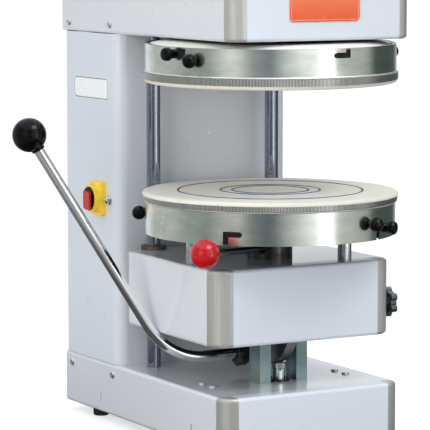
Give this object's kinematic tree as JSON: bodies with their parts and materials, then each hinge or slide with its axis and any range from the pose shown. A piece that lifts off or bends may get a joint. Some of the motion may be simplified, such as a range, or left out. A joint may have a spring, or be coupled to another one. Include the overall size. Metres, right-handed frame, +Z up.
{
  "type": "pizza dough press",
  "caption": "Upright press that flattens pizza dough: a hand lever lifts a cloth-covered plate towards a motor-driven, conical wobbling plate under the head.",
  "frame": {"origin": "middle of the footprint at the height of the table", "axes": "+Z up, -Y towards the user, +X to the user's right"},
  "size_m": [0.6414, 0.6602, 0.8],
  "materials": {
    "panel": "smooth pale grey paint",
    "corner_post": "satin anodised, fine vertical lines",
    "dark_steel": "black painted",
    "inner_steel": "plain",
    "zinc": "zinc plated",
    "chrome": "polished",
    "ring_steel": "polished",
    "plate_cast": "machined",
    "bronze": "sintered bronze",
    "rubber": "matte",
    "black_plastic": "gloss",
    "red_plastic": "gloss",
    "switch_yellow": "satin",
    "switch_red": "satin",
    "cloth": "woven",
    "orange_plate": "satin",
    "label": "matte",
    "motor_paint": "painted"
  },
  "bodies": {
    "frame": {"feet": "rubber", "base_cover": "panel", "base_front_panel": "panel", "base_posts": "corner_post", "base_floor": "inner_steel", "back_panels": "panel", "base_chassis": "inner_steel", "column_shell": "panel", "guide_rods": "chrome", "rest_blocks": "zinc", "rest_pads": "rubber", "lift_post": "chrome", "post_flange": "dark_steel", "head_cover": "panel", "head_front_panel": "panel", "head_posts": "corner_post", "head_floor": "inner_steel", "head_chassis": "inner_steel", "front_plate": "orange_plate", "side_label": "label", "motor": "motor_paint", "bearing_housing": "inner_steel", "spindle_bearings": "chrome", "belt": "rubber", "switch_body": "switch_yellow", "cover_bolt": "chrome", "panel_screws": "inner_steel"},
    "carriage": {"carriage_cover": "panel", "carriage_front_panel": "panel", "carriage_back_panel": "panel", "carriage_posts": "corner_post", "carriage_chassis": "dark_steel", "bronze_bushes": "bronze", "shaft_brackets": "dark_steel", "plate_hub": "dark_steel", "plate_rests": "chrome"},
    "lever": {"lever_rod": "chrome", "lever_ball": "black_plastic", "lever_shaft": "chrome", "lift_cam": "inner_steel"},
    "adjuster": {"adjust_collar": "dark_steel", "adjust_rod": "zinc", "adjust_ball": "red_plastic"},
    "lower_plate": {"lower_plate": "plate_cast", "lower_knobs": "black_plastic"},
    "lower_ring": {"lower_ring": "ring_steel", "lower_grips": "black_plastic", "lower_cloth": "cloth", "lower_band": "ring_steel"},
    "spindle": {"upper_spindle": "inner_steel"},
    "upper_plate": {"upper_plate": "plate_cast", "upper_knobs": "black_plastic"},
    "upper_ring": {"upper_ring": "ring_steel", "upper_grips": "black_plastic", "upper_cloth": "cloth", "upper_band": "ring_steel"},
    "motor_rotor": {"motor_pulley": "inner_steel"},
    "star_knob": {"star_knob": "inner_steel"},
    "switch_handle": {"switch_disc": "black_plastic", "switch_handle": "switch_red"}
  },
  "joints": [
    {"name": "carriage_lift", "type": "slide", "parent": "frame", "child": "carriage", "axis": [0, 0, 1], "range_m": [0, 0.154]},
    {"name": "lever_pivot", "type": "hinge", "parent": "carriage", "child": "lever", "pos_m": [0.0878, -0.03828, 0.1406], "axis": [1, 0, 0], "range_deg": [0, 90]},
    {"name": "adjust_turn", "type": "hinge", "parent": "carriage", "child": "adjuster", "pos_m": [0.0878, -0.10782, 0.33], "axis": [0, 0, 1], "range_deg": [0, 40]},
    {"name": "plate_height", "type": "slide", "parent": "carriage", "child": "lower_plate", "axis": [0, 0, 1], "range_m": [0, 0.004]},
    {"name": "lower_ring_twist", "type": "hinge", "parent": "lower_plate", "child": "lower_ring", "pos_m": [0.0878, -0.10782, 0.38], "axis": [0, 0, 1], "range_deg": [0, 6.2]},
    {"name": "drive_spin", "type": "hinge", "parent": "frame", "child": "spindle", "pos_m": [0.0878, -0.10782, 0.7], "axis": [0, 0, 1], "continuous": true},
    {"name": "plate_counter_turn", "type": "hinge", "parent": "spindle", "child": "upper_plate", "pos_m": [0.0878, -0.10782, 0.593], "axis": [-0.0072, -0.012, 0.9999], "continuous": true},
    {"name": "upper_ring_twist", "type": "hinge", "parent": "upper_plate", "child": "upper_ring", "pos_m": [0.0878, -0.10782, 0.593], "axis": [-0.0072, -0.012, 0.9999], "range_deg": [-6.2, 0]},
    {"name": "motor_spin", "type": "hinge", "parent": "frame", "child": "motor_rotor", "pos_m": [0.0878, 0.2201, 0.7], "axis": [0, 0, 1], "continuous": true},
    {"name": "star_knob_turn", "type": "hinge", "parent": "carriage", "child": "star_knob", "pos_m": [0.26781, -0.19482, 0.235], "axis": [1, 0, 0], "continuous": true},
    {"name": "switch_turn", "type": "hinge", "parent": "frame", "child": "switch_handle", "pos_m": [-0.10219, 0.1841, 0.3945], "axis": [1, 0, 0], "range_deg": [0, 90]}
  ],
  "couplings": [
    {"joint": "carriage_lift", "follows": "lever_pivot", "m_per_rad": 0.098039},
    {"joint": "plate_height", "follows": "adjust_turn", "m_per_rad": 0.0057296},
    {"joint": "plate_counter_turn", "follows": "drive_spin", "ratio": -1},
    {"joint": "motor_spin", "follows": "drive_spin", "ratio": 3.3333}
  ]
}
